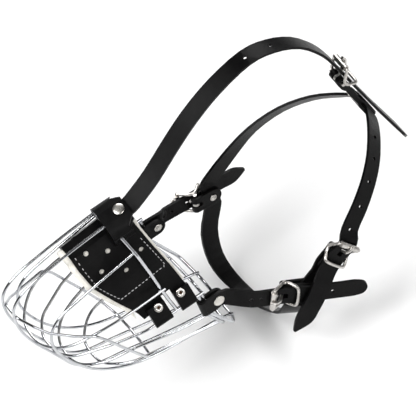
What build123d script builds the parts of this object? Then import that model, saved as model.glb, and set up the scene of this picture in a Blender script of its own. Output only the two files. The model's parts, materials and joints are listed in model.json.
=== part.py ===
from build123d import *
import os

# Basket muzzle for a large dog: welded wire basket, padded nose saddle, buckled leather harness.
# Millimetres. Nose towards -Y, the dog's left is +X, up is +Z, origin in the mouth opening
# midway between the two cheek posts.

os.makedirs("parts", exist_ok=True)

# ---------------------------------------------------------------- driving dimensions
WIRE_R = 1.25          # basket wires
RIM_R = 1.5            # arch, rear frame and chin bow
STRAP_W = 16.0         # every strap
STRAP_T = 2.4          # leather thickness
HOLE_R = 1.6           # punched holes
PAD_LEATHER = 2.0      # nose saddle leather
PAD_FELT = 5.0         # nose saddle felt
FELT_LIP = 5.0         # felt showing in front of the leather
RAIL_X = 50.0          # side rails, half spacing
RAIL_Z = 15.0          # side rails, height
ARCH_Y = -43.0         # top of the arch, fore and aft
ARCH_Z = 107.0         # top of the arch, height
BRIDGE_X = 9.0         # centre bridge wires, half spacing
OUTER_X = 28.0         # outer bridge wires, half spacing

BAR_R = 1.5            # buckle centre bar
BAR_DROP = 5.8         # centre bar below the middle of the strap
ROLLER_BAR_R = 1.4
ROLLER_IN = 1.5
ROLLER_OUT = 2.6
ROLLER_X = -11.5       # roller ahead of the bar
ROLLER_Z = 4.9
ROLLER_LEN = 17.0
KEEPER_X = 9.5         # wire keeper behind the bar
KEEPER_Z = 3.7
ARM_Y = 10.2           # side arms, half spacing
TONGUE_R = 1.3
FOLD_IN = 1.58         # leather round the bar, inner radius
FOLD_OUT = FOLD_IN + STRAP_T
LEFT_LOOP_X = 20.0     # collar crossing, behind the bar
RIGHT_LOOP_X = 14.5

RIVET_R = 2.0
CAP_R = 5.0
CAP_T = 1.0


# ---------------------------------------------------------------- helpers
def vec(p):
    return p if isinstance(p, Vector) else Vector(*p)


def mirrored(points):
    return [(-x, y, z) for x, y, z in points]


def hoop(half):
    """Full hoop from its left half, which ends on the middle plane."""
    return list(half) + mirrored(half[-2::-1])


def wire(points, radius):
    """Round wire through the points of a smooth curve."""
    path = Spline(*points)
    return sweep(Plane(path @ 0, z_dir=path % 0) * Circle(radius), path)


def bent_wire(points, radius, bend):
    """Round wire of straight runs with round bends."""
    path = FilletPolyline(*points, radius=bend)
    return sweep(Plane(path @ 0, z_dir=path % 0) * Circle(radius), path)


def rod(a, b, radius):
    a = vec(a)
    b = vec(b)
    return Plane(a, z_dir=b - a) * Cylinder(
        radius, (b - a).length, align=(Align.CENTER, Align.CENTER, Align.MIN)
    )


def blend(a, b, c, d, t):
    """Catmull-Rom step between b and c."""
    return 0.5 * (
        2.0 * b + (c - a) * t + (2.0 * a - 5.0 * b + 4.0 * c - d) * t**2
        + (3.0 * b - a - 3.0 * c + d) * t**3
    )


def stations(route, steps):
    """Route of (place, outward, width) made into evenly blended stations."""
    rows = [tuple(p) + tuple(n) + (w,) for p, n, w in route]
    first = tuple(2 * a - b for a, b in zip(rows[0], rows[1]))
    last = tuple(2 * a - b for a, b in zip(rows[-1], rows[-2]))
    rows = [first] + rows + [last]
    out = []
    for i in range(1, len(rows) - 2):
        for k in range(steps):
            out.append(
                [blend(*v, k / steps) for v in zip(rows[i - 1], rows[i], rows[i + 1], rows[i + 2])]
            )
    out.append(list(rows[-2]))
    return [(Vector(*r[0:3]), Vector(*r[3:6]).normalized(), r[6]) for r in out]


def ribbon(route, steps=3, thickness=STRAP_T):
    """Leather strap along a route, flat side towards each outward direction."""
    line = stations(route, steps)
    faces = []
    for i, (place, out, width) in enumerate(line):
        ahead = line[min(i + 1, len(line) - 1)][0] - line[max(i - 1, 0)][0]
        side = out.cross(ahead).normalized()
        section = Plane(place, x_dir=side, z_dir=ahead.normalized())
        faces.append(section * Rectangle(width, thickness))
    return loft(faces, ruled=True)


def punched(strap, route_points, outward, radius=HOLE_R):
    """Round holes through a strap."""
    for place in route_points:
        middle = vec(place)
        out = vec(outward).normalized()
        strap -= rod(middle - out * 6, middle + out * 6, radius)
    return strap


def rivet(place, outward, grip, cap_t=CAP_T, cap_r=CAP_R):
    """Rivet: shank, domed cap outside and flat foot inside. grip is (below, above)."""
    seat = Plane(vec(place), z_dir=vec(outward))
    below, above = grip
    shank = Pos(0, 0, below) * Cylinder(
        RIVET_R, above - below, align=(Align.CENTER, Align.CENTER, Align.MIN)
    )
    cap = Pos(0, 0, above) * Cone(
        cap_r, cap_r * 0.6, cap_t, align=(Align.CENTER, Align.CENTER, Align.MIN)
    )
    foot = Pos(0, 0, below - 0.8) * Cylinder(
        cap_r * 0.8, 0.8, align=(Align.CENTER, Align.CENTER, Align.MIN)
    )
    return seat * (shank + cap + foot)


def save(name, shape):
    shape.label = name
    export_step(shape, "parts/" + name + ".step")
    print(name, round(shape.volume, 1), len(shape.solids()))


# ---------------------------------------------------------------- buckle places
def strap_frame(place, travel, outward):
    """Frame on a strap: X along its travel, Z outwards."""
    return Plane(vec(place), x_dir=vec(travel), z_dir=vec(outward))


def square_to(travel, outward):
    """Outward direction made square to the travel."""
    t = vec(travel).normalized()
    n = vec(outward)
    return (n - t * n.dot(t)).normalized()


LEFT_T = Vector(0.25, 0.88, -0.40).normalized()
LEFT_N = square_to(LEFT_T, (0.968, -0.222, 0.117))
RIGHT_T = Vector(-0.05, 0.983, -0.178).normalized()
RIGHT_N = square_to(RIGHT_T, (-0.9985, -0.045, 0.030))
CROWN_T = Vector(0, 0.22, -0.975).normalized()
CROWN_N = square_to(CROWN_T, (0, 1, 0.2))
COLLAR_T = square_to(LEFT_N, (-0.112, -0.808, -0.58))

LEFT = strap_frame((68.8, 51.6, -25.2), LEFT_T, LEFT_N)
RIGHT = strap_frame((-56.7, 41.3, -8.5), RIGHT_T, RIGHT_N)
CROWN = strap_frame((0, 187.7, 86.3), CROWN_T, CROWN_N)
LEFT_CROSS = LEFT.from_local_coords(Vector(LEFT_LOOP_X, 0, -BAR_DROP))
RIGHT_CROSS = RIGHT.from_local_coords(Vector(RIGHT_LOOP_X, 0, -BAR_DROP))
COLLAR_RUN = 45.0      # collar bar to the left crossing, along the collar
COLLAR = strap_frame(LEFT_CROSS - COLLAR_T * COLLAR_RUN + LEFT_N * BAR_DROP, COLLAR_T, LEFT_N)
CROWN_RUN = 48.0       # crown bar to the collar
CROWN_RIVET_X = 28.0
CROWN_CROSS = CROWN.from_local_coords(Vector(CROWN_RUN, 0, -BAR_DROP))


# ---------------------------------------------------------------- buckle pieces, in strap frames
def buckle_frame():
    ends = []
    for side in (-1, 1):
        y = side * ARM_Y
        front = (ROLLER_X, y, ROLLER_Z)
        middle = (0, y, -BAR_DROP)
        back = (KEEPER_X, y, KEEPER_Z)
        ends.append(rod(front, middle, ROLLER_BAR_R))
        ends.append(rod(middle, back, ROLLER_BAR_R))
        for corner, r in ((front, ROLLER_BAR_R), (middle, BAR_R), (back, ROLLER_BAR_R)):
            ends.append(Pos(*corner) * Sphere(r))
    frame = rod((ROLLER_X, -ARM_Y, ROLLER_Z), (ROLLER_X, ARM_Y, ROLLER_Z), ROLLER_BAR_R)
    frame += rod((0, -ARM_Y, -BAR_DROP), (0, ARM_Y, -BAR_DROP), BAR_R)
    frame += rod((KEEPER_X, -ARM_Y, KEEPER_Z), (KEEPER_X, ARM_Y, KEEPER_Z), ROLLER_BAR_R)
    for piece in ends:
        frame += piece
    return frame


def buckle_roller():
    turn = Pos(ROLLER_X, 0, ROLLER_Z) * Rot(90, 0, 0)
    return turn * (Cylinder(ROLLER_OUT, ROLLER_LEN) - Cylinder(ROLLER_IN, ROLLER_LEN + 2))


def buckle_tongue():
    ring = Cylinder(3.0, 2.6) - Cylinder(1.6, 4)
    knuckle = Pos(0, 0, -BAR_DROP) * Rot(90, 0, 0) * ring
    pin = bent_wire(
        [(-1.3, 0, -3.4), (-6.2, 0, 6.6), (-10.8, 0, 9.1), (-15.2, 0, 8.4)], TONGUE_R, 2.5
    )
    return knuckle + pin


def tongue_slot():
    return Pos(-2.5, 0, 0) * Box(9.4, 4.4, 8)


def bar_fold(end_x, width):
    """Leather turned round the centre bar, two layers running back to end_x."""
    low = -BAR_DROP
    body = Pos(end_x / 2, 0, low) * Box(end_x, width, 2 * FOLD_OUT)
    body -= Pos(end_x / 2, 0, low) * Box(end_x + 1, width + 2, 2 * FOLD_IN)
    turn = Pos(0, 0, low) * Rot(90, 0, 0) * (Cylinder(FOLD_OUT, width) - Cylinder(FOLD_IN, width + 2))
    turn -= Pos(10, 0, low) * Box(20, width + 4, 20)
    body += turn
    body -= Pos(0, 0, low) * Box(8.4, 4.4, 2 * FOLD_OUT + 2)
    return body


def rounded_end(body, end_x, width):
    """Trims the free end to a half round."""
    start = end_x - width / 2
    keep = Pos(start - 30, 0, -BAR_DROP) * Box(60, width + 4, 30)
    keep += Pos(start, 0, -BAR_DROP) * Cylinder(width / 2, 30)
    return body & keep


def cheek_loop(cross_x):
    """Tab from the buckle bar round the collar, riveted through it."""
    loop = rounded_end(bar_fold(cross_x + 8.5, STRAP_W), cross_x + 8.5, STRAP_W)
    loop -= Pos(cross_x, 0, -BAR_DROP) * Cylinder(RIVET_R + 0.05, 20)
    return loop


def cheek_loop_rivet(cross_x):
    place = (cross_x, 0, -BAR_DROP)
    return rivet(place, (0, 0, 1), (-FOLD_OUT - 0.02, FOLD_OUT + 0.02), 0.45, 4.2)


def crown_loop():
    """Tab from the crown buckle down to the collar, riveted between the two loops."""
    low = -BAR_DROP
    half = STRAP_W / 2 - 1
    slot_half = STRAP_W / 2 + 0.6
    end = CROWN_RUN + slot_half + 1
    profile = [
        (0, FOLD_OUT), (7, FOLD_OUT), (12, STRAP_T), (CROWN_RUN - slot_half - 5, STRAP_T),
        (CROWN_RUN - slot_half, STRAP_T + 1.4), (end, STRAP_T + 1.4), (end + 2.2, STRAP_T),
    ]
    outline = profile + [(x, -z) for x, z in reversed(profile)]
    side = Plane.XZ * make_face(Polyline(*outline, close=True))
    body = Pos(0, 0, low) * extrude(side, amount=half, both=True)
    body += Pos(0, 0, low) * Rot(90, 0, 0) * Cylinder(FOLD_OUT, 2 * half)
    body -= Pos(0, 0, low) * Rot(90, 0, 0) * Cylinder(FOLD_IN, 40)
    body -= Pos(CROWN_RUN, 0, low) * Box(2 * slot_half, 40, STRAP_T + 0.5)
    body -= Pos(0, 0, low) * Box(8.4, 4.4, 2 * FOLD_OUT + 2)
    body -= Pos(CROWN_RIVET_X, 0, low) * Cylinder(RIVET_R + 0.05, 20)
    return body


def crown_loop_rivet():
    grip = (-STRAP_T - 0.02, STRAP_T + 0.02)
    return rivet((CROWN_RIVET_X, 0, -BAR_DROP), (0, 0, 1), grip)


# ---------------------------------------------------------------- wire basket
ARCH = [
    (49.8, -31.2, RAIL_Z + 0.8), (46, -32.5, 25), (41, -34, 38), (37, -35.5, ARCH_Z - 50),
    (30, -37.5, ARCH_Z - 30), (20, -41, ARCH_Z - 11), (11, ARCH_Y, ARCH_Z - 1.6), (0, ARCH_Y, ARCH_Z),
]
ARCH_BEND = 14.0       # bend radius along the arch
POST_Y = -10.0         # rear post, wrapped by the cheek strap
POST_TOP = RAIL_Z - WIRE_R + 0.15
FRAME_LOW = -58.8      # bottom of the rear frame
REAR = [
    (RAIL_X, POST_Y, POST_TOP), (RAIL_X, POST_Y, -12), (44, 0, -39), (28, 5, FRAME_LOW),
]
BOW_Y = POST_Y + 2 * RIM_R - 0.1
BOW = [
    (RAIL_X, BOW_Y, POST_TOP), (RAIL_X, BOW_Y, -13), (45, 8, -46), (26, 13, -62),
]


def arch():
    return bent_wire(hoop(ARCH), RIM_R, ARCH_BEND)


def rear_frame():
    """Two straight posts joined under the jaw."""
    return bent_wire(REAR + mirrored(REAR[::-1]), RIM_R, 13)


def chin_bow():
    """Second bow behind the rear frame, its posts welded alongside."""
    return bent_wire(BOW + mirrored(BOW[::-1]), RIM_R, 13)


BRIDGE = [
    (BRIDGE_X, ARCH_Y - 0.8, ARCH_Z - 0.7), (BRIDGE_X, -70, ARCH_Z - 2.5),
    (BRIDGE_X, -110, ARCH_Z - 7.5), (BRIDGE_X, -132, ARCH_Z - 13), (BRIDGE_X, -144, ARCH_Z - 23),
    (BRIDGE_X, -147.5, 70),
    (BRIDGE_X, -146, 50), (BRIDGE_X, -140.5, 31), (BRIDGE_X, -129, 2),
    (BRIDGE_X, -118, -22), (BRIDGE_X, -104, -34), (BRIDGE_X, -84, -40), (BRIDGE_X, -54, -48.5),
    (BRIDGE_X, 7, FRAME_LOW - RIM_R - WIRE_R + 0.1),
]
OUTER = [
    (OUTER_X, -37.6, ARCH_Z - 26.4), (OUTER_X, -60, 76.5), (OUTER_X, -80, 73), (OUTER_X, -100, 69),
    (OUTER_X, -118, 64), (OUTER_X, -128, 55), (OUTER_X, -132, 42), (OUTER_X, -129, 22),
    (OUTER_X, -122, 4), (OUTER_X, -110, -15), (OUTER_X, -92, -31), (OUTER_X, -66, -43),
    (OUTER_X, -20, -50.5), (OUTER_X, 4, -54), (OUTER_X, 14, -57.3),
]
HOOPS = {
    "hoop_upper": [
        (43.3, -31, 38.7), (44.7, -66, 39.5), (42.5, -97, 39), (36.5, -117, 36),
        (27.5, -129, 33), (14, -137.5, 32), (0, -139.5, 32),
    ],
    "hoop_lower": [
        (RAIL_X - 0.4, POST_Y - 0.7, -12.5), (46, -55, -7), (40.5, -79, -6), (35.5, -96, -8),
        (27, -109.5, -10), (14, -118.5, -13), (0, -120.5, -14),
    ],
    "hoop_chin": [
        (42.4, -0.2, -38.5), (40.5, -33, -33), (37.5, -66, -28), (34, -80, -28),
        (26.5, -90.5, -28.8), (14, -99.5, -31), (0, -101.5, -31.5),
    ],
}
RAIL = [
    (RAIL_X, -5, RAIL_Z), (RAIL_X, -62, RAIL_Z), (41, -92, 14.5), (27, -120.5, 11.5), (11, -130, 9.5),
]
CROSS_RING = [
    (0, -145.6, 73), (9, -145.6, 73), (20, -138, 64), (27.5, -130.5, 55.5), (37, -115, 46),
    (44.5, -100, 39), (46, -93, 28), (44.6, -86, 12), (42.8, -78, -6), (38.5, -69, -27),
    (28, -63.5, -41), (10, -62, -44.5), (0, -62, -44.5),
]


def hoop_rail():
    """Straight along the cheeks, then bent round the nose."""
    return bent_wire(RAIL + mirrored(RAIL[::-1]), WIRE_R, 24)


def bridge_wires():
    return Compound([wire(BRIDGE, WIRE_R).solid(), wire(mirrored(BRIDGE), WIRE_R).solid()])


def outer_bridge_wires():
    return Compound([wire(OUTER, WIRE_R).solid(), wire(mirrored(OUTER), WIRE_R).solid()])


def cross_ring():
    """Closed ring, made as two mirrored halves."""
    half = bent_wire(CROSS_RING, WIRE_R, 9)
    return half + mirror(half, about=Plane.YZ)


# ---------------------------------------------------------------- nose saddle
SLOPE = 0.11           # the saddle falls this much per mm towards the nose
SADDLE = [
    (0, ARCH_Z - 3), (9, ARCH_Z - 4.5), (17, ARCH_Z - 12.5), (24, ARCH_Z - 25.5), (30, ARCH_Z - 41),
    (34.5, ARCH_Z - 55), (37.8, 40),
    (RAIL_X - 6.5, RAIL_Z + 12),
]
LOBE_WEB = [(-7.5, 9.5), (-9.0, 12.5), (-5.4, 14.0), (2.8, 2.2), (1.4, 1.3), (-3.5, -0.5)]


def saddle_band(outer, inner, length=110):
    """Arched band between two depths below the saddle's outer line."""
    def line(depth):
        half = []
        for i, (x, z) in enumerate(SADDLE):
            x0, z0 = SADDLE[max(i - 1, 0)]
            x1, z1 = SADDLE[min(i + 1, len(SADDLE) - 1)]
            along = Vector(x1 - x0, z1 - z0).normalized()
            half.append((x + along.Y * depth, z - along.X * depth))
        half[0] = (0, SADDLE[0][1] - depth)
        return [(-x, z) for x, z in reversed(half)] + half[1:]

    outline = line(outer) + list(reversed(line(inner)))
    face = Plane.XZ * make_face(Polyline(*outline, close=True))
    return extrude(face, amount=length, dir=(0, -1, -SLOPE))


def saddle_outline(lip=0.0):
    """Side view of the saddle, front and rear edges."""
    front = [(-84, ARCH_Z + 3), (-84, 86), (-81, 68), (-71, 48), (-60, 28), (-54, 10)]
    rear = [(-10, 10), (-14, 30), (-17, 50), (-22, 76), (-27, ARCH_Z + 3)]
    points = [(y - lip, z) for y, z in front] + [(y + lip * 0.4, z) for y, z in rear]
    return extrude(Plane.YZ * make_face(Polyline(*points, close=True)), amount=70, both=True)


def lobe(side, y0, y1):
    """Lower end of the saddle turned round the side rail."""
    length = y1 - y0
    x = side * RAIL_X
    middle = (y0 + y1) / 2
    turn = Pos(x, middle, RAIL_Z) * Rot(90, 0, 0)
    grip = turn * (Cylinder(WIRE_R + 0.1 + PAD_LEATHER, length) - Cylinder(WIRE_R + 0.1, length + 2))
    outline = [(side * (RAIL_X + a), RAIL_Z + b) for a, b in LOBE_WEB]
    flap = extrude(Plane.XZ.offset(-y1) * make_face(Polyline(*outline, close=True)), amount=length)
    flap -= turn * Cylinder(WIRE_R + 0.1, length + 2)
    return grip + flap


LOBES = [(-53, -36.5), (-27.5, -12.4)]
EYELET_Y = [-43.5, -21.5]
EYELET_AT = (RAIL_X - 6.4, RAIL_Z + 9.6)
EYELET_DIR = (0.80, 0.60)
VENTS = [(-71, 11.5, 93.5), (-55, 17.3, 87.8), (-68, 22.7, 76.5), (-31, 25.1, 75), (-50, 27.7, 66.4)]


def nose_pad():
    pad = saddle_band(0, PAD_LEATHER) & saddle_outline()
    for side in (-1, 1):
        for y0, y1 in LOBES:
            pad += lobe(side, y0, y1)
        pad -= Pos(side * (RAIL_X - 3), -32, RAIL_Z + 5) * Box(16, 9.0, 22)
        for y in EYELET_Y:
            middle = Vector(side * EYELET_AT[0], y, EYELET_AT[1])
            out = Vector(side * EYELET_DIR[0], 0, EYELET_DIR[1])
            pad -= rod(middle - out * 9, middle + out * 9, 2.0)
        for y, x, z in VENTS:
            middle = Vector(side * x, y, z)
            out = Vector(side, 0, max(0.4, (z - 60) / 35)).normalized()
            pad -= rod(middle - out * 6, middle + out * 6, 2.2)
    return pad


def pad_lining():
    felt = saddle_band(PAD_LEATHER + 0.05, PAD_LEATHER + PAD_FELT) & saddle_outline(FELT_LIP)
    for side in (-1, 1):
        felt -= Pos(side * 46, -32, 16) * Box(24, 60, 26)
    return felt


def pad_eyelets():
    pieces = []
    for side in (-1, 1):
        for y in EYELET_Y:
            middle = Vector(side * EYELET_AT[0], y, EYELET_AT[1])
            out = Vector(side * EYELET_DIR[0], 0, EYELET_DIR[1])
            tube = rod(middle - out * 4.2, middle + out * 3.8, 1.95)
            flange = rod(middle + out * 3.6, middle + out * 4.4, 4.0)
            back = rod(middle - out * 4.8, middle - out * 4.1, 3.2)
            bore = rod(middle - out * 9, middle + out * 9, 1.3)
            pieces.append((tube + flange + back - bore).solid())
    return Compound(pieces)


# ---------------------------------------------------------------- top tab and straps
TAB_HALF = 18.0
TAB_REAR = -23.0
TAB_TILT = 14.0        # the tab sits round the arch towards the left
TILT_Z = ARCH_Z - 22      # height of the axis that the tab is tilted about
TAB_TURN = Pos(0, 0, TILT_Z) * Rot(0, TAB_TILT, 0) * Pos(0, 0, -TILT_Z)
TOP_RIVET = (0, -30, ARCH_Z)
TAB_GAP = 2.6
TAB_OUT = TAB_GAP + STRAP_T


def mirrored2(points):
    return [(-x, z) for x, z in reversed(points)]


def tab_band(half_height, front, rear):
    crown = [(0, ARCH_Z), (6, ARCH_Z), (11, ARCH_Z - 1.6), (15, ARCH_Z - 4.8), (TAB_HALF, ARCH_Z - 8.2)]
    full = mirrored2(crown) + crown[1:]
    outline = [(x, z + half_height) for x, z in full]
    outline += [(x, z - half_height) for x, z in reversed(full)]
    face = Plane.XZ.offset(-rear) * make_face(Polyline(*outline, close=True))
    return extrude(face, amount=rear - front)


def top_tab():
    """Leather folded over the top of the arch, open to the rear."""
    tab = tab_band(TAB_OUT, ARCH_Y - 4.6, TAB_REAR) - tab_band(TAB_GAP, ARCH_Y - 2.2, TAB_REAR + 5)
    for side in (-1, 1):
        corner = Pos(side * TAB_HALF, TAB_REAR, ARCH_Z) * Rot(0, 0, side * 35) * Box(14, 9, 40)
        tab -= corner
    tab -= rod((0, TOP_RIVET[1], ARCH_Z - 17), (0, TOP_RIVET[1], ARCH_Z + 13), RIVET_R + 0.05)
    tab = TAB_TURN * tab
    tab -= bent_wire(hoop(ARCH), RIM_R + 0.12, ARCH_BEND)
    for side in (-1, 1):
        tab -= rod(
            (side * BRIDGE_X, -52, ARCH_Z - 1), (side * BRIDGE_X, -43, ARCH_Z - 0.4), WIRE_R + 0.9
        )
    return tab


def along(frame, x, z=0.0, y=0.0):
    p = frame.from_local_coords(Vector(x, y, z))
    return (p.X, p.Y, p.Z)


def tip(route_end, outward, travel, length, kind):
    """Shaped strap end: (place, outward, width) rows going on from a place."""
    steps = {
        "point": [(0.0, 1.0), (0.45, 0.72), (1.0, 0.12)],
        "round": [(0.0, 1.0), (0.6, 0.84), (0.88, 0.55), (1.0, 0.16)],
    }[kind]
    start = vec(route_end)
    rows = []
    for share, width in steps:
        rows.append((tuple(start + vec(travel) * length * share), outward, STRAP_W * width))
    return rows


UP = (0, 0, 1)
W = STRAP_W


def tab_place(y, z=ARCH_Z):
    turned = Vector(0, 0, z - TILT_Z).rotate(Axis.Y, TAB_TILT)
    return (turned.X, y, turned.Z + TILT_Z)


def forehead_strap():
    n = tuple(CROWN_N)
    lean = tuple(Vector(0, 0, 1).rotate(Axis.Y, TAB_TILT))
    first_hole = (0, 119, 172)
    second_hole = (0, 142, 166.5)
    route = [
        (tab_place(-40), lean, W), (tab_place(-31), lean, W), (tab_place(-21), lean, W),
        ((4, -8, 111), (0.28, -0.3, 0.9), W),
        ((2.5, 8, 118.5), (0.3, -0.42, 0.86), W), ((0.5, 33, 134.5), (0.3, -0.52, 0.8), W),
        ((0, 57, 150), (0.3, -0.5, 0.82), W), ((0, 86, 164), (0.22, -0.3, 0.93), W),
        (first_hole, (0.1, 0.1, 1), W), (second_hole, (0, 0.42, 0.9), W),
        ((0, 162, 152), (-0.08, 0.72, 0.7), W), ((0, 176, 129), (-0.05, 0.9, 0.4), W),
        (along(CROWN, -22), n, W), (along(CROWN, -12), n, W), (along(CROWN, 0), n, W),
        (along(CROWN, 14), n, W), (along(CROWN, 60, 0.3), n, W),
    ]
    route += tip(along(CROWN, 101, 1.5), n, CROWN_T, 16, "point")
    strap = ribbon(route)
    strap -= CROWN * tongue_slot()
    strap -= TAB_TURN * rod((0, TOP_RIVET[1], 95), (0, TOP_RIVET[1], 120), RIVET_R + 0.05)
    strap = punched(strap, [along(CROWN, 32, 0.1), along(CROWN, 58, 0.3)], n)
    strap = punched(strap, [first_hole], (0.1, 0.1, 1))
    strap = punched(strap, [second_hole], (0, 0.42, 0.9))
    return strap


def collar_strap():
    n_left = tuple(LEFT_N)
    n_right = tuple(RIGHT_N)
    n_crown = tuple(CROWN_N)
    low = -BAR_DROP
    layer = FOLD_IN + STRAP_T / 2
    rise = RIGHT_T.cross(RIGHT_N)
    crown = vec(CROWN_CROSS)
    right = vec(RIGHT_CROSS)
    holes = [
        ((37, 181, 40), (0.5, 0.8, 0.34)), ((50, 170, 34), (0.68, 0.65, 0.34)),
        ((61, 156, 26.5), (0.82, 0.5, 0.3)), ((70, 139, 17.5), (0.92, 0.28, 0.25)),
        ((76.3, 122, 8), (0.96, 0.1, 0.2)),
    ]
    route = [
        (along(COLLAR, 0, low - layer), n_left, W), (along(COLLAR, 10, low - layer), n_left, W),
        (along(COLLAR, 18, low - layer), n_left, W), (along(COLLAR, COLLAR_RUN - 19, low), n_left, W),
        (along(COLLAR, COLLAR_RUN - 15, low), n_left, W), (along(COLLAR, COLLAR_RUN, low), n_left, W),
        (along(COLLAR, COLLAR_RUN + 15, low), n_left, W),
        (along(COLLAR, COLLAR_RUN + 19, low), n_left, W),
        ((59, 50.5, -57), (0.88, -0.38, -0.20), W), ((48, 49, -68), (0.72, -0.50, -0.46), W),
        ((34, 47, -79), (0.50, -0.60, -0.62), W), ((14, 44, -91), (0.25, -0.68, -0.69), W),
        ((-10, 41, -98), (-0.15, -0.70, -0.70), W), ((-32, 37, -93), (-0.55, -0.58, -0.60), W),
        ((-46, 36, -76), (-0.87, -0.36, -0.33), W), ((-51, 41.5, -49), (-0.99, -0.1, -0.05), W),
        (tuple(right - rise * 15), n_right, W), (tuple(right - rise * 10), n_right, W),
        (tuple(right + rise * 10), n_right, W), (tuple(right + rise * 15), n_right, W),
        ((-51, 84, 19), (-0.97, 0.05, 0.2), W), ((-50, 110, 31), (-0.88, 0.22, 0.42), W),
        ((-43, 138, 40), (-0.72, 0.5, 0.5), W), ((-32, 163, 43), (-0.52, 0.72, 0.45), W),
        ((-20, 182, 41), (-0.28, 0.90, 0.34), W),
        (tuple(crown - Vector(12, 0, 0)), n_crown, W), (tuple(crown - Vector(8, 0, 0)), n_crown, W),
        (tuple(crown + Vector(8, 0, 0)), n_crown, W), (tuple(crown + Vector(12, 0, 0)), n_crown, W),
        ((23, 188.5, 39.5), (0.3, 0.92, 0.3), W),
    ]
    route += [(place, out, W) for place, out in holes]
    route += [
        (along(COLLAR, -12), n_left, W), (along(COLLAR, 0), n_left, W), (along(COLLAR, 12), n_left, W),
        (along(COLLAR, 22, 2.0, 0.6), n_left, W), (along(COLLAR, 32, 4.6, 2.4), n_left, W),
        (along(COLLAR, 44, 6.4, 4.6), n_left, W), (along(COLLAR, 55, 6.8, 6.4), n_left, W),
    ]
    route += tip(along(COLLAR, 64, 6.6, 8), n_left, COLLAR_T, 16, "point")
    strap = ribbon(route)
    fold = bar_fold(19, W)
    fold -= Pos(14, 0, low - layer) * Box(20, W + 4, STRAP_T - 0.6)
    strap += COLLAR * fold
    strap -= COLLAR * (Pos(0, 0, low) * Box(8.4, 4.4, 2 * FOLD_OUT + 2))
    strap -= COLLAR * tongue_slot()
    strap -= COLLAR * (Pos(13, 0, low) * Cylinder(RIVET_R + 0.05, 2 * FOLD_OUT + 1))
    for frame, cross_x in ((LEFT, LEFT_LOOP_X), (RIGHT, RIGHT_LOOP_X)):
        strap -= frame * (Pos(cross_x, 0, low) * Cylinder(RIVET_R + 0.05, 8))
    for place, out in holes:
        strap = punched(strap, [place], out)
    return strap


def collar_fold_rivet():
    return rivet((13, 0, -BAR_DROP), (0, 0, 1), (-FOLD_OUT - 0.02, FOLD_OUT + 0.02), 0.45, 3.4)


def cheek_strap(frame, travel, outward, side, tail):
    """Cheek strap: folded round the rear post, riveted, then back through its buckle."""
    n = tuple(outward)
    out = (side, 0, 0)
    gap = RIM_R + 0.15 + STRAP_T / 2
    x = side * RAIL_X
    route = [
        ((x + side * gap, POST_Y, -1), out, W),
        ((x + side * gap, -2, -1), out, W), ((x + side * gap, 9, -2), out, W),
        (along(frame, -28), n, W),
        (along(frame, -13), n, W), (along(frame, 0), n, W), (along(frame, 12), n, W),
        (along(frame, 17, 0.9), n, W), (along(frame, 30, 0.9), n, W),
        (along(frame, tail - 12, 0.6), n, W),
    ]
    kind = "round" if side > 0 else "point"
    route += tip(along(frame, tail - 6, 0.5), n, travel, 12, kind)
    strap = ribbon(route)
    ring = Cylinder(gap + STRAP_T / 2, W) - Cylinder(gap - STRAP_T / 2, W + 2)
    ring -= Pos(0, 12, 0) * Box(24, 24, W + 4)
    strap += Pos(x, POST_Y, -1) * ring
    flap = Pos(x - side * gap, POST_Y + 6, -1) * Box(STRAP_T, 12, W)
    flap += Pos(x - side * gap, POST_Y + 12, -1) * Rot(0, 90, 0) * Cylinder(W / 2, STRAP_T)
    strap += flap
    strap -= rod((x - side * 8, 3, -1), (x + side * 8, 3, -1), RIVET_R + 0.05)
    strap -= frame * tongue_slot()
    for at in (-29, -21):
        strap = punched(strap, [along(frame, at)], n)
    strap = punched(strap, [along(frame, tail - 24, 0.8)], n)
    return strap


def cheek_rivet(side):
    gap = RIM_R + 0.15 + STRAP_T
    return rivet((side * RAIL_X, 3, -1), (side, 0, 0), (-gap - 0.02, gap + 0.02))


# ---------------------------------------------------------------- build
save("rim_arch", arch())
save("rear_frame", rear_frame())
save("chin_bow", chin_bow())
save("bridge_wires", bridge_wires())
save("outer_bridge_wires", outer_bridge_wires())
for name, half in HOOPS.items():
    save(name, wire(hoop(half), WIRE_R))
save("hoop_rail", hoop_rail())
save("cross_ring", cross_ring())

save("nose_pad", nose_pad())
save("pad_lining", pad_lining())
save("pad_eyelets", pad_eyelets())

save("top_tab", top_tab())
save("top_tab_rivet", TAB_TURN * rivet(TOP_RIVET, UP, (-TAB_OUT - 0.02, TAB_OUT + 0.02), 1.6))
save("forehead_strap", forehead_strap())
save("collar_strap", collar_strap())
save("collar_fold_rivet", COLLAR * collar_fold_rivet())
save("crown_loop", CROWN * crown_loop())
save("crown_loop_rivet", CROWN * crown_loop_rivet())

for word, frame, travel, outward, side, tail, cross_x in (
    ("left", LEFT, LEFT_T, LEFT_N, 1, 64, LEFT_LOOP_X),
    ("right", RIGHT, RIGHT_T, RIGHT_N, -1, 46, RIGHT_LOOP_X),
):
    save(word + "_cheek_strap", cheek_strap(frame, travel, outward, side, tail))
    save(word + "_cheek_rivet", cheek_rivet(side))
    save(word + "_cheek_loop", frame * cheek_loop(cross_x))
    save(word + "_cheek_loop_rivet", frame * cheek_loop_rivet(cross_x))

for word, frame in (("crown", CROWN), ("collar", COLLAR), ("left", LEFT), ("right", RIGHT)):
    save(word + "_buckle_frame", frame * buckle_frame())
    save(word + "_buckle_roller", frame * buckle_roller())
    save(word + "_buckle_tongue", frame * buckle_tongue())
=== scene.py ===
# %% [markdown]
# # A wire basket muzzle with a leather harness
# The real object is a cage of chromed wire, welded at every crossing. A nose saddle of black
# leather with a felt lining rests on the dog's nose, and black leather straps hold the cage on.
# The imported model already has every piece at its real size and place, so this script loads it
# and gives each piece the finish and the small detail that the bare solids lack.
# %% Load the frame
import json
import math

import bmesh
import bpy
from mathutils import Matrix, Vector, noise
from mathutils.bvhtree import BVHTree


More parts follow.
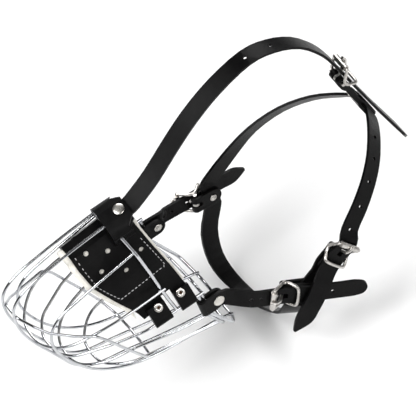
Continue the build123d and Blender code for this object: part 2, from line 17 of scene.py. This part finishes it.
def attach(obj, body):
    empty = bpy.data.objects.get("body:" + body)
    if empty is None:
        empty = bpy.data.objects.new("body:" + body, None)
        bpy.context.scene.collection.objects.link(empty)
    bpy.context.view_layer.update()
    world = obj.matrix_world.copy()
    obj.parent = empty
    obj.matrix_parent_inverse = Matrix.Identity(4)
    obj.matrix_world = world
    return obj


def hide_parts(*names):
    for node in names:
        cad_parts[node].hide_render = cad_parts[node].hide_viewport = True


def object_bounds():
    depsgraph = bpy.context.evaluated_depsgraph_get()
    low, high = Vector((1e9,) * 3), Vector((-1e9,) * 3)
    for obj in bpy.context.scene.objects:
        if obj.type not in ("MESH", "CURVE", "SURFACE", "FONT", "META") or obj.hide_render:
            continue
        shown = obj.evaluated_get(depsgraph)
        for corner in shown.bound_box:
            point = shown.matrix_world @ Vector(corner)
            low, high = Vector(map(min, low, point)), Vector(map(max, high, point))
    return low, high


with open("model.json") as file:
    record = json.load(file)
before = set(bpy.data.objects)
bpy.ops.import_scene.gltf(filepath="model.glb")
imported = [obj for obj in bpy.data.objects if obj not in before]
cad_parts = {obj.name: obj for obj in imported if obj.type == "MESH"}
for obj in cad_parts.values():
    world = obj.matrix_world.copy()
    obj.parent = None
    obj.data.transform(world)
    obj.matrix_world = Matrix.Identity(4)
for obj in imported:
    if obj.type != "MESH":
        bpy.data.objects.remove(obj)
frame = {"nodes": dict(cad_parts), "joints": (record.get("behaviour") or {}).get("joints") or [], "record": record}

MM = 0.001
nodes = frame["nodes"]
joints = {joint["name"]: joint for joint in frame["joints"]}
scene = bpy.context.scene
scene.view_settings.view_transform = "Standard"
cad_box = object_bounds()
print("CAD nodes:", len(nodes), "box:", cad_box)

# %% [markdown]
# ## Camera
# A product shot uses a long lens from far away, which keeps the straps' widths even from front
# to back. The camera looks down on the left cheek and is rolled, so that the nose points to the
# lower left. Its three directions are given as vectors, because a roll is hard to read in angles.
# %% Camera
VIEW_RIGHT = Vector((0.503, 0.820, -0.273)).normalized()
VIEW_UP = Vector((-0.596, 0.558, 0.577)).normalized()
VIEW_BACK = VIEW_RIGHT.cross(VIEW_UP)
VIEW_WIDTH = 339.5 * MM
LENS = 900
SENSOR = 36

camera_data = bpy.data.cameras.new("long_lens")
camera_data.lens = LENS
camera_data.sensor_width = SENSOR
camera_data.clip_end = 20
camera = bpy.data.objects.new("camera", camera_data)
scene.collection.objects.link(camera)
aim = (VIEW_RIGHT * 20.4 + VIEW_UP * 44.9 + VIEW_BACK * 29) * MM
eye = aim + VIEW_BACK * (VIEW_WIDTH * LENS / SENSOR)
turn = Matrix((VIEW_RIGHT, VIEW_UP, VIEW_BACK)).transposed()
camera.matrix_world = Matrix.Translation(eye) @ turn.to_4x4()
scene.camera = camera
print("camera distance", round((eye - aim).length, 3))

# %% [markdown]
# ## Shader maths
# Materials here are sums and products of noise patterns. Wiring Math nodes by hand is slow to
# read, so a small class wraps a socket and lets it be added and multiplied like a number.
# Every other node comes from its one method, node.
# %% Sockets that behave like numbers
class Socket:
    """An output socket in a node tree, usable in sums and products."""

    def __init__(self, tree, link=None):
        self.tree = tree
        self.link = link

    def node(self, kind, settings=None, inputs=None, output=0):
        made = self.tree.nodes.new("ShaderNode" + kind)
        for name, value in (settings or {}).items():
            if name == "stops":
                elements = made.color_ramp.elements
                while len(elements) < len(value):
                    elements.new(1.0)
                for element, (place, shade) in zip(elements, value):
                    element.position = place
                    element.color = (*shade, 1.0)
            else:
                setattr(made, name, value)
        for name, value in (inputs or {}).items():
            if isinstance(value, Socket):
                self.tree.links.new(value.link, made.inputs[name])
            else:
                made.inputs[name].default_value = value
        return Socket(self.tree, made.outputs[output])

    def math(self, operation, first, second):
        return self.node("Math", {"operation": operation}, {0: first, 1: second})

    def __add__(self, other):
        return self.math("ADD", self, other)

    def __mul__(self, other):
        return self.math("MULTIPLY", self, other)

    __radd__ = __add__
    __rmul__ = __mul__


def new_finish(name, constants):
    """A material, its empty socket to build from, and its shader with fixed values set."""
    material = bpy.data.materials.new(name)
    material.use_nodes = True
    shader = material.node_tree.nodes["Principled BSDF"]
    for key, value in constants.items():
        shader.inputs[key].default_value = value
    start = Socket(material.node_tree)
    place = start.node("TexCoord", output=3)
    return material, place, shader


def feed(shader, name, value):
    value.tree.links.new(value.link, shader.inputs[name])


def noise_at(place, scale, detail=3.0, roughness=0.55):
    inputs = {"Vector": place, "Scale": scale, "Detail": detail, "Roughness": roughness}
    return place.node("TexNoise", inputs=inputs)


def two_tone(amount, dark, light):
    return amount.node("ValToRGB", {"stops": [(0.3, dark), (0.7, light)]}, {"Fac": amount})


def bump(height, strength, distance):
    inputs = {"Height": height, "Strength": strength, "Distance": distance}
    return height.node("Bump", inputs=inputs)


# %% [markdown]
# ## Black harness leather
# Vegetable-tanned strap leather, dyed black, has a fine pebble grain of cells under a millimetre
# and a soft waxed sheen that is uneven where hands have rubbed it. Voronoi cells give the pebbles
# and two noises give pores and rubbing. The cut and rounded edge is rougher and lighter grey:
# partly its own worn colour and partly a painted highlight along the rounding.
# %% Leather finishes
def leather_finish(name, dark, light, base_roughness, grain):
    material, place, shader = new_finish(name, {"Specular IOR Level": 0.09})
    pebbles = place.node(
        "TexVoronoi", {"feature": "DISTANCE_TO_EDGE"}, {"Vector": place, "Scale": 1150.0}
    )
    pores = noise_at(place, 2600.0)
    rubbed = noise_at(place, 55.0, detail=5.0)
    creases = noise_at(place, 260.0, detail=4.0, roughness=0.65)
    feed(shader, "Base Color", two_tone(rubbed * 0.8 + pores * 0.2, dark, light))
    feed(shader, "Roughness", rubbed * 0.22 + pores * 0.08 + (base_roughness - 0.15))
    height = pebbles * 1.4 + pores * 0.35 + creases * 0.7
    feed(shader, "Normal", bump(height, grain, 0.00025))
    return material


leather = leather_finish(
    "black_leather", (0.0012, 0.0012, 0.0014), (0.0042, 0.0040, 0.0040), 0.36, 0.34
)
# The edge finish is lighter than the face: partly the worn cut edge, partly a painted highlight.
leather_edge_wear_and_highlight = leather_finish(
    "leather_edge_wear_and_highlight", (0.004, 0.0038, 0.0036), (0.012, 0.011, 0.010), 0.50, 0.45
)

# %% [markdown]
# ## Wool felt
# The lining is pressed cream wool: no weave, only short matted fibres, so it is very rough and
# slightly mottled. Stretched noise stands for the fibres, and the sheen catches light at grazing
# angles as real fuzz does.
# %% Felt finish
def felt_finish():
    fuzz = {"Sheen Weight": 0.35, "Sheen Roughness": 0.6}
    material, place, shader = new_finish("cream_felt", fuzz)
    fibres = noise_at(place, 1500.0, detail=6.0, roughness=0.75)
    clumps = noise_at(place, 240.0, detail=3.0)
    mottle = fibres * 0.5 + clumps * 0.5
    feed(shader, "Base Color", two_tone(mottle, (0.70, 0.67, 0.60), (0.90, 0.88, 0.82)))
    feed(shader, "Roughness", fibres * 0.1 + 0.86)
    feed(shader, "Normal", bump(fibres * 1.0 + clumps * 1.2, 0.8, 0.0006))
    return material


felt = felt_finish()

# %% [markdown]
# ## Plated metal
# The cage is bright chrome over steel wire: nearly a mirror, with faint smears. The buckles and
# rivets are nickel, which is warmer and more worn. Both are fully metallic, and only their
# roughness and a very small bump change over the surface.
# %% Metal finishes
def plated_finish(name, dark, light, smooth, worn, ripple):
    material, place, shader = new_finish(name, {"Metallic": 1.0})
    smears = noise_at(place, 90.0, detail=4.0)
    specks = noise_at(place, 1400.0, detail=4.0, roughness=0.7)
    feed(shader, "Base Color", two_tone(smears, dark, light))
    feed(shader, "Roughness", smears * worn + specks * (worn * 0.5) + smooth)
    feed(shader, "Normal", bump(smears * 0.6 + specks * 0.4, ripple, 0.0001))
    return material


chrome = plated_finish("chrome_wire", (0.42, 0.43, 0.45), (0.66, 0.67, 0.69), 0.03, 0.10, 0.10)
nickel = plated_finish("nickel_buckle", (0.40, 0.38, 0.36), (0.64, 0.62, 0.59), 0.10, 0.24, 0.18)
rivet_nickel = plated_finish(
    "nickel_rivet", (0.46, 0.44, 0.41), (0.70, 0.68, 0.64), 0.10, 0.22, 0.14
)
# Painted shade: a dark brown metal finish for the plug that stands for the shade inside each eyelet's hole.
rivet_core = plated_finish(
    "rivet_core", (0.030, 0.014, 0.008), (0.11, 0.055, 0.03), 0.36, 0.30, 0.30
)


def thread_finish():
    material, place, shader = new_finish("waxed_thread", {"Sheen Weight": 0.2})
    twist = noise_at(place, 3000.0, detail=2.0)
    feed(shader, "Base Color", two_tone(twist, (0.30, 0.30, 0.31), (0.58, 0.58, 0.58)))
    feed(shader, "Roughness", twist * 0.2 + 0.55)
    feed(shader, "Normal", bump(twist, 0.6, 0.0002))
    return material


thread = thread_finish()

# %% [markdown]
# ## Finishing the metal nodes
# The wires, rollers and tongues are already right in shape, so they stay as they are and only
# get their finish. The buckle frames get it too, though rounder wires stand for them later on.
# %% Metal on the CAD nodes
def finish_node(name, material):
    mesh = nodes[name].data
    mesh.materials.clear()
    mesh.materials.append(material)


for part in frame["record"]["subparts"]:
    if part["material_slot"] == "wire":
        finish_node(part["node"], chrome)
    if part["material_slot"] == "buckle_metal":
        finish_node(part["node"], nickel)

# %% [markdown]
# ## Straps, tabs and loops
# A leather strap is cut with square sides, and then its corners are rounded with an edging tool.
# Each piece starts from a merged copy of its solid. Flat triangles are dissolved into whole
# faces, and a Bevel modifier rounds every sharp edge and marks it with the edge finish, whose
# lighter grey is partly worn colour and partly a painted highlight.
# %% Leather pieces
EDGE_ROUNDING = 0.45 * MM


def merged_copy(node, name):
    """A new object with the node's mesh, its loose triangles merged."""
    shape = bmesh.new()
    shape.from_mesh(nodes[node].data)
    bmesh.ops.remove_doubles(shape, verts=shape.verts, dist=0.02 * MM)
    bmesh.ops.dissolve_degenerate(shape, dist=0.05 * MM, edges=shape.edges)
    bmesh.ops.dissolve_limit(
        shape, angle_limit=math.radians(0.6), verts=shape.verts, edges=shape.edges
    )
    bmesh.ops.recalc_face_normals(shape, faces=shape.faces)
    return new_piece(name, shape)


def new_piece(name, shape):
    """Turns a bmesh into a linked object with smooth faces."""
    mesh = bpy.data.meshes.new(name)
    for face in shape.faces:
        face.smooth = True
    shape.to_mesh(mesh)
    shape.free()
    piece = bpy.data.objects.new(name, mesh)
    scene.collection.objects.link(piece)
    return piece


def round_edges(piece, width, material_index):
    piece.data.set_sharp_from_angle(angle=math.radians(32))
    bevel = piece.modifiers.new("edging", "BEVEL")
    bevel.width = width
    bevel.segments = 3
    bevel.limit_method = "ANGLE"
    bevel.angle_limit = math.radians(48)
    bevel.use_clamp_overlap = True
    # The bevel's faces take the lighter edge finish, which is partly a painted highlight.
    bevel.material = material_index
    bevel.harden_normals = False


def place_piece(piece, node, body, materials):
    for material in materials:
        piece.data.materials.append(material)
    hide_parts(node)
    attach(piece, body)


LEATHER_NODES = [
    part["node"] for part in frame["record"]["subparts"] if part["material_slot"] == "leather"
]
for node in LEATHER_NODES:
    piece = merged_copy(node, node + "_leather")
    round_edges(piece, EDGE_ROUNDING, 1)
    place_piece(piece, node, "basket", [leather, leather_edge_wear_and_highlight])
    print(node, "faces", len(piece.data.polygons))

# %% [markdown]
# ## Felt lining
# Thick felt has no sharp edges: it is die cut and then swells a little. The copy is remeshed
# into even small cells, relaxed so that its edges turn round, and roughened with noise.
# %% Felt pad
FELT_CELL = 1.1 * MM
RELAX_PASSES = 4
FELT_LUMPS = [(320, 0.16), (900, 0.10)]


def felt_pad():
    piece = merged_copy("pad_lining", "pad_lining_felt")
    remesh = piece.modifiers.new("even_cells", "REMESH")
    remesh.mode = "VOXEL"
    remesh.voxel_size = FELT_CELL
    graph = bpy.context.evaluated_depsgraph_get()
    even = bpy.data.meshes.new_from_object(piece.evaluated_get(graph))
    piece.modifiers.clear()
    shape = bmesh.new()
    shape.from_mesh(even)
    for _ in range(RELAX_PASSES):
        bmesh.ops.smooth_vert(
            shape, verts=shape.verts, factor=0.5, use_axis_x=True, use_axis_y=True, use_axis_z=True
        )
    shape.normal_update()
    for vert in shape.verts:
        lump = sum(noise.noise(vert.co * scale) * height for scale, height in FELT_LUMPS)
        vert.co += vert.normal * (lump * MM)
    for face in shape.faces:
        face.smooth = True
    shape.to_mesh(piece.data)
    shape.free()
    bpy.data.meshes.remove(even)
    return piece


pad_felt = felt_pad()
place_piece(pad_felt, "pad_lining", "basket", [felt])
print("felt faces", len(pad_felt.data.polygons))

# %% [markdown]
# ## Saddle stitching
# The leather and felt are sewn together along the front edge, across the bottom and up the rear
# of each side. A stitch is a short piece of waxed thread that dips into the leather at both
# ends. The seam's line is given from the side, and a ray finds the leather at each stitch.
# %% Stitches
SEAM = [
    (-80.5, 93), (-80.0, 84), (-77.5, 67), (-71.5, 56), (-66.0, 47.0), (-50, 48.6), (-34, 50.4),
    (-20.5, 52), (-21.5, 58), (-24.0, 70), (-26.2, 80), (-28.0, 88),
]
STITCH_PITCH = 3.6
STITCH_LENGTH = 2.5
THREAD_RADIUS = 0.38
LONGEST_STEP = 9 * MM


def evenly_spaced(points, pitch):
    """Places along a line of (y, z) points, one pitch apart."""
    places = []
    carried = 0.0
    for (y0, z0), (y1, z1) in zip(points, points[1:]):
        length = math.hypot(y1 - y0, z1 - z0)
        while carried < length:
            share = carried / length
            places.append((y0 + (y1 - y0) * share, z0 + (z1 - z0) * share))
            carried += pitch
        carried -= length
    return places


def saddle_surface():
    shape = bmesh.new()
    shape.from_mesh(nodes["nose_pad"].data)
    tree = BVHTree.FromBMesh(shape)
    shape.free()
    return tree


def on_saddle(tree, side, y, z):
    """The leather's outer surface at a height, seen from one side."""
    start = Vector((side * 90, y, z)) * MM
    hit, normal, _, _ = tree.ray_cast(start, Vector((-side, 0, 0)))
    return hit, normal


def add_stitch(shape, middle, along, out):
    turn = Matrix((along, out.cross(along), out)).transposed()
    size = Matrix.Diagonal((STITCH_LENGTH * 0.5, THREAD_RADIUS, THREAD_RADIUS))
    place = Matrix.Translation(middle) @ (turn @ size * MM).to_4x4()
    bmesh.ops.create_uvsphere(shape, u_segments=8, v_segments=6, radius=1.0, matrix=place)


def stitching():
    tree = saddle_surface()
    shape = bmesh.new()
    for side in (-1, 1):
        places = evenly_spaced(SEAM, STITCH_PITCH)
        hits = [on_saddle(tree, side, y, z) for y, z in places]
        for (hit, normal), (ahead, _) in zip(hits, hits[1:]):
            if hit is None or ahead is None or (ahead - hit).length > LONGEST_STEP:
                continue
            along = (ahead - hit).normalized()
            out = (normal - along * normal.dot(along)).normalized()
            add_stitch(shape, hit + out * (0.12 * MM), along, out)
    return new_piece("saddle_stitching", shape)


stitches = stitching()
stitches.data.materials.append(thread)
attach(stitches, "basket")
print("stitch faces", len(stitches.data.polygons))

# %% [markdown]
# ## Rivets and eyelets
# Harness rivets have a domed cap outside and a burred washer inside, and the saddle's eyelets
# are rolled rings round a hole, with a dark brown plug in each hole as painted shade. A lathe
# would turn each of them, so each is a profile spun round its axis, and it takes its place and
# length from the solid that it stands for.
# %% Turned parts
SPIN_STEPS = 28
ROLLER_AHEAD = 11.5
ROLLER_ABOVE = 10.7


def turned(name, profile, axis, origin):
    """Spins a closed (radius, height) profile in millimetres round an axis."""
    shape = bmesh.new()
    verts = [shape.verts.new((radius * MM, 0, height * MM)) for radius, height in profile]
    edges = [shape.edges.new(pair) for pair in zip(verts, verts[1:])]
    bmesh.ops.spin(
        shape, geom=verts + edges, cent=(0, 0, 0), axis=(0, 0, 1), angle=math.tau,
        steps=SPIN_STEPS, use_merge=True,
    )
    bmesh.ops.remove_doubles(shape, verts=shape.verts, dist=0.002 * MM)
    bmesh.ops.recalc_face_normals(shape, faces=shape.faces)
    turn = Vector((0, 0, 1)).rotation_difference(axis).to_matrix().to_4x4()
    bmesh.ops.transform(shape, matrix=Matrix.Translation(origin) @ turn, verts=shape.verts)
    return new_piece(name, shape)


def measured(points, axis):
    """Middle of a turned solid and its reach along the axis, in metres and millimetres."""
    middle = sum(points, Vector()) / len(points)
    heights = [(point - middle).dot(axis) for point in points]
    spread = [((point - middle) - axis * (point - middle).dot(axis)).length for point in points]
    return middle, min(heights) / MM, max(heights) / MM, max(spread) / MM


def dome_profile(low, high, radius):
    dome = []
    for step in range(9):
        angle = math.radians(90 - step * 10)
        dome.append((radius * math.cos(angle), high - 0.95 + 0.95 * math.sin(angle)))
    rim = [(radius, high - 0.95), (radius * 0.94, high - 1.0), (1.9, high - 1.0)]
    foot = [
        (1.9, low + 0.8), (radius * 0.70, low + 0.8), (radius * 0.76, low + 0.45),
        (radius * 0.66, low + 0.05), (2.2, low), (1.7, low + 0.35), (0.0, low + 0.35),
    ]
    return dome + rim + foot


def strap_axis(word):
    """Outward direction of the strap at a buckle, from its bar and roller joints."""
    across = Vector(joints[word + "_buckle_rock"]["axis"])
    bar = Vector(joints[word + "_buckle_rock"]["pos_m"])
    roller = Vector(joints[word + "_roller_spin"]["pos_m"])
    reach = (roller - bar) / MM
    return (reach * ROLLER_ABOVE + across.cross(reach) * ROLLER_AHEAD).normalized()


TAB_LEAN = math.radians(14)
RIVET_AXES = {
    "top_tab_rivet": Vector((math.sin(TAB_LEAN), 0, math.cos(TAB_LEAN))),
    "left_cheek_rivet": Vector((1, 0, 0)),
    "right_cheek_rivet": Vector((-1, 0, 0)),
    "left_cheek_loop_rivet": strap_axis("left"),
    "right_cheek_loop_rivet": strap_axis("right"),
    "crown_loop_rivet": strap_axis("crown"),
    "collar_fold_rivet": strap_axis("collar"),
}
for node, axis in RIVET_AXES.items():
    points = [vert.co.copy() for vert in nodes[node].data.vertices]
    middle, low, high, radius = measured(points, axis)
    rivet = turned(node + "_turned", dome_profile(low, high, radius), axis, middle)
    place_piece(rivet, node, "basket", [rivet_nickel])
    print(node, "length", round(high - low, 2), "radius", round(radius, 2))

# %% [markdown]
# The four eyelets share one node, so its points are first sorted by side and by front or rear.
# %% Eyelets
def eyelet_profile(low, high, radius):
    return [
        (1.35, low + 0.2), (1.35, high - 0.35), (1.6, high - 0.08), (2.3, high),
        (radius * 0.8, high - 0.06), (radius * 0.97, high - 0.35), (radius * 0.95, high - 0.75),
        (2.0, high - 0.78), (1.9, low + 0.7), (3.1, low + 0.65), (3.1, low + 0.1), (2.0, low),
        (1.35, low + 0.2),
    ]


# A plug filling the eyelet's hole, finished dark brown as painted shade.
def hole_shade_profile(low, high):
    return [
        (0.0, high - 1.5), (1.0, high - 1.55), (1.36, high - 1.7), (1.36, low + 1.0),
        (0.0, low + 1.0),
    ]


def eyelets():
    points = [vert.co.copy() for vert in nodes["pad_eyelets"].data.vertices]
    middle_y = sum(point.y for point in points) / len(points)
    rings = []
    hole_shades = []
    for side in (-1, 1):
        axis = Vector((side * 0.80, 0, 0.60))
        for rear in (False, True):
            mine = [p for p in points if p.x * side > 0 and (p.y > middle_y) == rear]
            middle, low, high, radius = measured(mine, axis)
            name = f"eyelet_{'left' if side > 0 else 'right'}_{'rear' if rear else 'front'}"
            rings.append(turned(name, eyelet_profile(low, high, radius), axis, middle))
            hole_shades.append(turned(name + "_core", hole_shade_profile(low, high), axis, middle))
    return rings, hole_shades


rings, hole_shades = eyelets()
for ring in rings:
    place_piece(ring, "pad_eyelets", "basket", [rivet_nickel])
# The plugs in the eyelet holes carry the painted shade.
for hole_shade in hole_shades:
    hole_shade.data.materials.append(rivet_core)
    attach(hole_shade, "basket")
print("eyelets", len(rings))

# %% [markdown]
# ## Buckle wires
# A roller buckle is one nickel wire bent into a loop: the roller turns on its front run, the
# strap folds round its middle bar, and its rear run is the keeper, bowed outwards. The solid has
# straight arms, so each frame is remade as a bevelled curve with rounded corners and a bow.
# %% Buckle frames
BUCKLE_WIRE = 1.4
BAR_WIRE = 1.5
ARM_SPREAD = 10.2
BAR_LOW = -5.8


def strap_directions(word):
    """The buckle's frame: bar centre, along the strap, across it and outwards."""
    across = Vector(joints[word + "_buckle_rock"]["axis"])
    bar = Vector(joints[word + "_buckle_rock"]["pos_m"])
    out = strap_axis(word)
    return bar, across.cross(out), across, out


def bent_curve(name, points, radius, closed):
    """A round wire through points, each corner eased by a spline, made a mesh."""
    curve = bpy.data.curves.new(name, "CURVE")
    curve.dimensions = "3D"
    curve.bevel_depth = radius * MM
    curve.bevel_resolution = 5
    curve.resolution_u = 6
    curve.use_fill_caps = True
    spline = curve.splines.new("NURBS")
    spline.points.add(len(points) - 1)
    for spot, point in zip(spline.points, points):
        spot.co = (*point, 1.0)
    spline.order_u = 3
    spline.use_cyclic_u = closed
    spline.use_endpoint_u = not closed
    holder = bpy.data.objects.new(name + "_line", curve)
    scene.collection.objects.link(holder)
    graph = bpy.context.evaluated_depsgraph_get()
    mesh = bpy.data.meshes.new_from_object(holder.evaluated_get(graph))
    bpy.data.objects.remove(holder)
    shape = bmesh.new()
    shape.from_mesh(mesh)
    bpy.data.meshes.remove(mesh)
    bmesh.ops.recalc_face_normals(shape, faces=shape.faces)
    return new_piece(name, shape)


FRAME_LOOP = [
    (-11.5, -7.4, 4.9), (-11.5, 7.4, 4.9), (-11.5, 10.0, 4.9), (-10.6, 10.2, 4.2), (-7, 10.2, 0.8),
    (0, 10.2, -5.6), (7.4, 10.2, 1.4), (9.2, 9.2, 3.4), (9.9, 6.2, 3.8), (10.2, 0, 3.8),
    (9.9, -6.2, 3.8), (9.2, -9.2, 3.4), (7.4, -10.2, 1.4), (0, -10.2, -5.6), (-7, -10.2, 0.8),
    (-10.6, -10.2, 4.2), (-11.5, -10.0, 4.9),
]


def joined(pieces, name):
    """Several pieces of one node as a single mesh."""
    shape = bmesh.new()
    for piece in pieces:
        shape.from_mesh(piece.data)
        bpy.data.objects.remove(piece)
    return new_piece(name, shape)


def buckle_wire(word):
    bar, forward, across, out = strap_directions(word)

    def placed(point):
        x, y, z = point
        return bar + (forward * x + across * y + out * (z - BAR_LOW)) * MM

    loop = bent_curve("loop", [placed(point) for point in FRAME_LOOP], BUCKLE_WIRE, True)
    ends = [placed((0, side * ARM_SPREAD, BAR_LOW)) for side in (-1, 1)]
    middle = bent_curve("bar", [ends[0], (ends[0] + ends[1]) / 2, ends[1]], BAR_WIRE, False)
    return joined([loop, middle], word + "_buckle_wire")


for word in ("crown", "collar", "left", "right"):
    node = word + "_buckle_frame"
    place_piece(buckle_wire(word), node, node, [nickel])
print("buckle wires remade")

# %% [markdown]
# ## Floor and light
# A pale floor and large soft lamps keep the black leather readable. Chrome only shows what is
# round it, so the world is pale at the horizon, nearly black above it and grey straight up. The
# black band draws the dark lines along each wire.
# %% Floor
FLOOR_HALF = 6.0
FLOOR_GAP = 0.0005


def pale_floor():
    shape = bmesh.new()
    bmesh.ops.create_grid(shape, x_segments=1, y_segments=1, size=FLOOR_HALF)
    lowest = cad_box[0][2] - FLOOR_GAP
    bmesh.ops.translate(shape, vec=(0, 0, lowest), verts=shape.verts)
    floor = new_piece("floor", shape)
    matt = {"Roughness": 0.9, "Specular IOR Level": 0.1}
    material, place, shader = new_finish("pale_floor", matt)
    shade = two_tone(noise_at(place, 3.0), (0.86, 0.86, 0.86), (0.90, 0.90, 0.90))
    feed(shader, "Base Color", shade)
    floor.data.materials.append(material)


pale_floor()

# %% Lamps and sky
def softbox(name, place, size, power):
    lamp_data = bpy.data.lights.new(name, "AREA")
    lamp_data.shape = "SQUARE"
    lamp_data.size = size
    lamp_data.energy = power
    lamp = bpy.data.objects.new(name, lamp_data)
    scene.collection.objects.link(lamp)
    place = Vector(place)
    facing = (place - aim).to_track_quat("Z", "Y").to_matrix().to_4x4()
    lamp.matrix_world = Matrix.Translation(place) @ facing


softbox("key_lamp", (0.3, -0.9, 1.6), 1.0, 36)
softbox("fill_lamp", (1.6, 0.7, 1.2), 1.2, 21)
softbox("rim_lamp", (-1.2, 0.9, 1.3), 0.9, 20)


def studio_sky():
    world = bpy.data.worlds.new("studio")
    world.use_nodes = True
    scene.world = world
    start = Socket(world.node_tree)
    direction = start.node("TexCoord", output=0)
    height = direction.node("SeparateXYZ", inputs={"Vector": direction}, output=2)
    stops = [
        (0.0, (0.55, 0.55, 0.56)), (0.14, (0.45, 0.45, 0.46)), (0.26, (0.02, 0.02, 0.02)),
        (0.86, (0.03, 0.03, 0.03)), (0.98, (0.35, 0.35, 0.35)),
    ]
    shade = height.node("ValToRGB", {"stops": stops}, {"Fac": height})
    background = world.node_tree.nodes["Background"]
    world.node_tree.links.new(shade.link, background.inputs["Color"])
    background.inputs["Strength"].default_value = 0.9


studio_sky()
